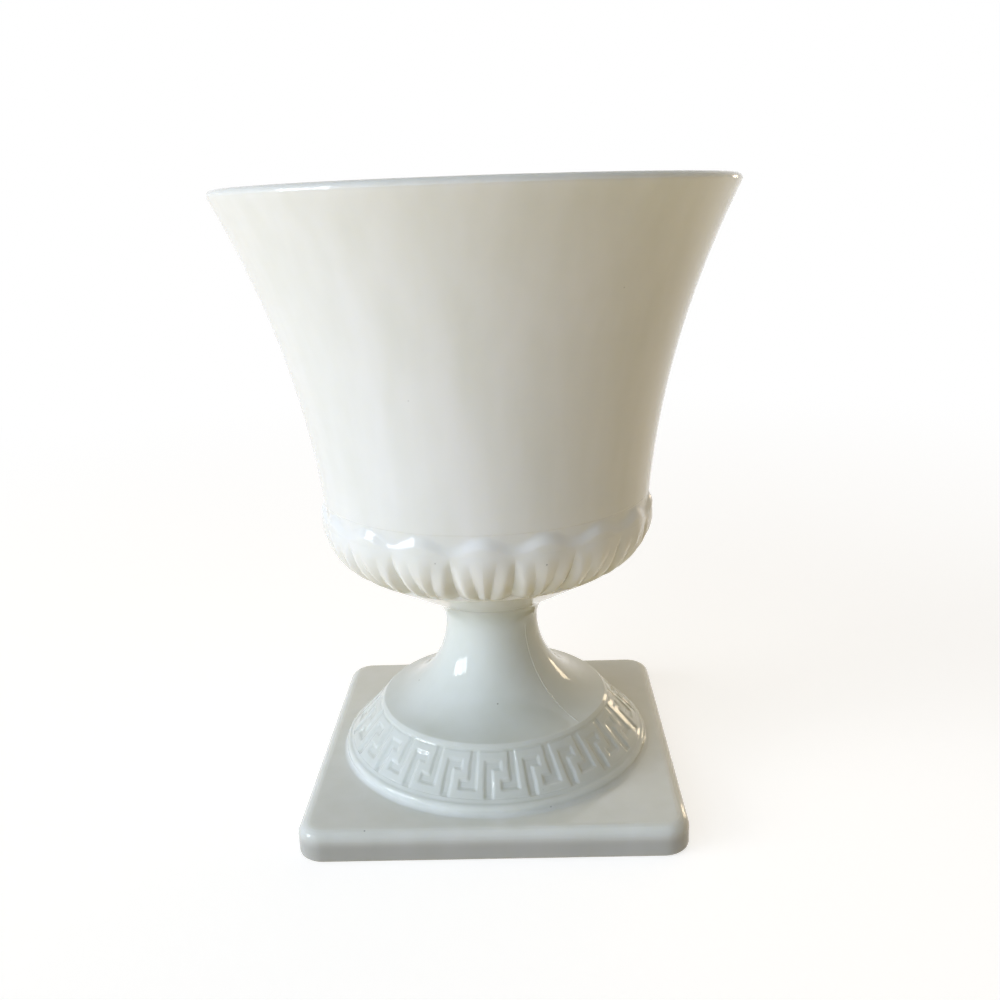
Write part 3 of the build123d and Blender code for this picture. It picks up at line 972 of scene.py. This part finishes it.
def bearing(azimuth, rise):
    """The direction at this angle from the front to the right, and this far above the horizon."""
    return Vector((math.sin(azimuth) * math.cos(rise), -math.cos(azimuth) * math.cos(rise), math.sin(rise)))


def room_world(studio):
    """The room round the vase: white to the eye and in gloss, and three wide soft lights to its glass."""
    world = bpy.data.worlds.new("pale_room")
    world.use_nodes = True
    tree = world.node_tree
    tree.nodes.clear()
    white = add(tree, "ShaderNodeBackground", {"Strength": 1.0, "Color": (1.0, 1.0, 1.0, 1.0)})
    toward = (add(tree, "ShaderNodeTexCoord"), "Generated")
    total = None
    for light, level, azimuth, rise, reach in (
        (studio.side_light, studio.side_level, studio.side_azimuth, studio.side_rise, studio.side_reach),
        (studio.back_light, studio.back_level, studio.back_azimuth, studio.back_rise, studio.back_reach),
        (
            studio.ceiling_light,
            studio.ceiling_level,
            studio.ceiling_azimuth,
            studio.ceiling_rise,
            studio.ceiling_reach,
        ),
    ):
        middle = tuple(bearing(azimuth, rise))
        near = add(tree, "ShaderNodeVectorMath", {0: toward, 1: middle}, operation="DOT_PRODUCT")
        part = ease(tree, (near, "Value"), math.cos(reach), 1.0)
        shed = tuple(channel * level for channel in light[:3])
        lit = add(tree, "ShaderNodeVectorMath", {0: shed, "Scale": part}, operation="SCALE")
        total = add(tree, "ShaderNodeVectorMath", {0: total, 1: lit}, operation="ADD") if total else lit
    soft = add(tree, "ShaderNodeBackground", {"Color": total, "Strength": 1.0})
    mixed = add(tree, "ShaderNodeMixShader", {0: to_the_eye(tree), 1: soft, 2: white})
    add(tree, "ShaderNodeOutputWorld", {"Surface": mixed})
    return world


def lamp(name, light, level, azimuth, rise, distance, width, height, sideways=0.0):
    """A flat soft light at a bearing from the front to the right, which may stand off to one side of it."""
    data = bpy.data.lights.new(name, "AREA")
    data.shape = "RECTANGLE"
    data.size, data.size_y = width, height
    data.color = light[:3]
    data.energy = level * LAMP_WATTS * width * height
    toward = bearing(azimuth, rise)
    beside = Vector((math.cos(azimuth), math.sin(azimuth), 0.0))
    middle = (cad_low + cad_high) / 2
    made = bpy.data.objects.new(name, data)
    made.location = middle + toward * distance + beside * sideways
    made.rotation_euler = (-toward).to_track_quat("-Z", "Y").to_euler()
    bpy.context.scene.collection.objects.link(made)
    return made


class URN_OT_make_bowl(bpy.types.Operator):
    """Turn the bowl with its leaves, in fire-polished milk glass"""

    bl_idname = "urn.make_bowl"
    bl_label = "Make the bowl"

    def execute(self, context):
        sizes, finish = context.scene.urn_bowl, context.scene.urn_glass
        # Fire-polished milk glass: smoother than the foot, with a soft even shine and a greyer lip
        thin_lip = (finish.lip, bowl_high.z - finish.lip_start, bowl_high.z - finish.lip_full)
        glass = milk_glass("milk_glass_bowl", finish, chill_share=0.5, layers=(thin_lip,))
        leaf_sizes = dict.fromkeys(("Softening", "Leaf top", "Leaf arch", "Leaf edge"), "NodeSocketFloat")
        rows = ("crowding", "gap", "gap_flank", "valley", "valley_flank", "spread", "step", "crown")
        tree = turning_tree("Bowl turning", rows, {**COMMON_SIZES, **leaf_sizes}, bowl_shape)
        piece = turned_piece(
            "bowl_glass",
            tree,
            bowl_profile(sizes),
            {
                "Repeats": sizes.leaf_count,
                "Columns each": LEAF_COLUMNS,
                "Start": sizes.leaf_start,
                "Crease": CREASE,
                "Material": glass,
                "Softening": sizes.soften,
                "Leaf top": bowl_low.z + sizes.belt_level + sizes.belt_height + sizes.waist_rise,
                "Leaf arch": sizes.leaf_arch,
                "Leaf edge": sizes.leaf_edge,
            },
        )
        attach(piece, "root")
        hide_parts("bowl")
        return {"FINISHED"}


class URN_OT_make_wafer(bpy.types.Operator):
    """Turn the thin wafer of glass that joins the bowl to the foot"""

    bl_idname = "urn.make_wafer"
    bl_label = "Make the joining wafer"

    def execute(self, context):
        # Hot-joined milk glass: it wasn't pressed in the mould, so its surface is nearly free of chill marks
        glass = milk_glass("milk_glass_wafer", context.scene.urn_glass, chill_share=0.2)
        tree = turning_tree("Wafer turning", ("crowding",), COMMON_SIZES, plain)
        piece = turned_piece(
            "joining_wafer_glass",
            tree,
            wafer_profile(context.scene.urn_wafer),
            {"Repeats": 1, "Columns each": WAFER_COLUMNS, "Start": 0.0, "Crease": CREASE, "Material": glass},
        )
        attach(piece, "root")
        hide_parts("joining_wafer")
        return {"FINISHED"}


class URN_OT_make_foot(bpy.types.Operator):
    """Turn the pedestal foot with its key pattern, dome and square plinth"""

    bl_idname = "urn.make_foot"
    bl_label = "Make the pedestal foot"

    def execute(self, context):
        sizes, finish = context.scene.urn_foot, context.scene.urn_glass
        # Pressed milk glass: the mould's chill marks break up its shine. Painted light whitens the slab's top
        # and painted shade greys its sides
        thickness = sizes.plinth_thickness
        lit_slab_top = (finish.slab, thickness + 2 * sizes.bead_radius, thickness + finish.slab_blend)
        shaded_slab_sides = (finish.edge, thickness, finish.edge_share * thickness)
        glass = milk_glass("milk_glass_foot", finish, chill_share=1.0, layers=(lit_slab_top, shaded_slab_sides))
        key_names = ("Key relief", "Key edge", "Key corners", "Seam", "Seam rise", "Seam half width")
        key_sizes = dict.fromkeys(("Corner centre", *key_names), "NodeSocketFloat")
        rows = ("crowding", "square", "key_row", "key_window", "seam")
        tree = turning_tree("Foot turning", rows, {**COMMON_SIZES, **key_sizes}, foot_shape)
        piece = turned_piece(
            "pedestal_foot_glass",
            tree,
            foot_profile(sizes),
            {
                "Repeats": sizes.key_count * KEY_CELLS,
                "Columns each": CELL_COLUMNS,
                "Start": sizes.key_start,
                "Crease": CREASE,
                "Material": glass,
                "Corner centre": sizes.plinth_side / 2 - sizes.plinth_corner,
                "Key relief": sizes.key_relief,
                "Key edge": sizes.key_edge,
                "Key corners": sizes.key_round,
                "Seam": sizes.seam_angle,
                "Seam rise": sizes.seam_rise,
                "Seam half width": sizes.seam_half_width,
            },
        )
        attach(piece, "root")
        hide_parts("pedestal_foot")
        return {"FINISHED"}


class URN_OT_make_studio(bpy.types.Operator):
    """Set up the floor, the room's light, the lamps and the camera"""

    bl_idname = "urn.make_studio"
    bl_label = "Make the studio"

    def execute(self, context):
        scene, studio = context.scene, context.scene.urn_studio
        sheet = bpy.data.meshes.new("studio_floor")
        corners = [(x * FLOOR_REACH, y * FLOOR_REACH, 0.0) for x, y in ((-1, -1), (1, -1), (1, 1), (-1, 1))]
        sheet.from_pydata(corners, [], [(0, 1, 2, 3)])
        sheet.transform(Matrix.Translation((0.0, 0.0, -FLOOR_DROP)))
        sheet.materials.append(paper_floor(studio))
        floor = bpy.data.objects.new("studio_floor", sheet)
        scene.collection.objects.link(floor)

        scene.world = room_world(studio)
        for place in (-1, 0, 1):
            lamp(
                f"window_light_{place + 2}",
                studio.window_light,
                studio.window_level,
                studio.window_azimuth,
                studio.window_rise,
                studio.window_distance,
                studio.pane_width,
                studio.pane_height,
                place * (studio.pane_width + studio.pane_bar),
            )
        lamp(
            "warm_light",
            studio.warm_light,
            studio.warm_level,
            studio.warm_azimuth,
            studio.warm_rise,
            studio.warm_distance,
            studio.warm_width,
            studio.warm_height,
        )

        data = bpy.data.cameras.new("camera")
        data.lens, data.sensor_width = studio.lens, FILM_WIDTH
        data.clip_start, data.clip_end = SIGHT_NEAR, SIGHT_FAR
        camera = bpy.data.objects.new("camera", data)
        camera.location = studio.eye
        camera.rotation_mode = "QUATERNION"
        looking = (
            Matrix.Rotation(-studio.pan, 3, "Z")
            @ Matrix.Rotation(math.pi / 2 - studio.tilt, 3, "X")
            @ Matrix.Rotation(-studio.roll, 3, "Z")
        )
        camera.rotation_quaternion = looking.to_quaternion()
        scene.collection.objects.link(camera)
        scene.camera = camera
        scene.view_settings.view_transform = "Standard"
        return {"FINISHED"}


GROUPS = {
    "urn_foot": UrnFootSizes,
    "urn_wafer": UrnWaferSizes,
    "urn_bowl": UrnBowlSizes,
    "urn_glass": UrnGlassFinish,
    "urn_studio": UrnStudio,
}
OPERATORS = (URN_OT_make_bowl, URN_OT_make_wafer, URN_OT_make_foot, URN_OT_make_studio)


class URN_PT_panel(bpy.types.Panel):
    """Sizes, colours and steps of the urn vase"""

    bl_idname = "URN_PT_panel"
    bl_label = "Milk-glass urn vase"
    bl_space_type = "VIEW_3D"
    bl_region_type = "UI"
    bl_category = "Urn vase"

    def draw(self, context):
        for name, group in GROUPS.items():
            box = self.layout.box()
            box.label(text=group.__doc__)
            for setting in group.__annotations__:
                box.prop(getattr(context.scene, name), setting)
        for operator in OPERATORS:
            self.layout.operator(operator.bl_idname)


def register():
    """Register the settings, the steps and the panel."""
    for made in (*GROUPS.values(), *OPERATORS, URN_PT_panel):
        bpy.utils.register_class(made)
    for name, group in GROUPS.items():
        setattr(bpy.types.Scene, name, bpy.props.PointerProperty(type=group))


def unregister():
    """Take the settings, the steps and the panel away again."""
    for name in GROUPS:
        delattr(bpy.types.Scene, name)
    for made in reversed((*GROUPS.values(), *OPERATORS, URN_PT_panel)):
        bpy.utils.unregister_class(made)


def main():
    """Build the vase and the studio."""
    register()
    bpy.ops.urn.make_bowl()
    bpy.ops.urn.make_wafer()
    bpy.ops.urn.make_foot()
    bpy.ops.urn.make_studio()


if __name__ == "__main__":
    main()
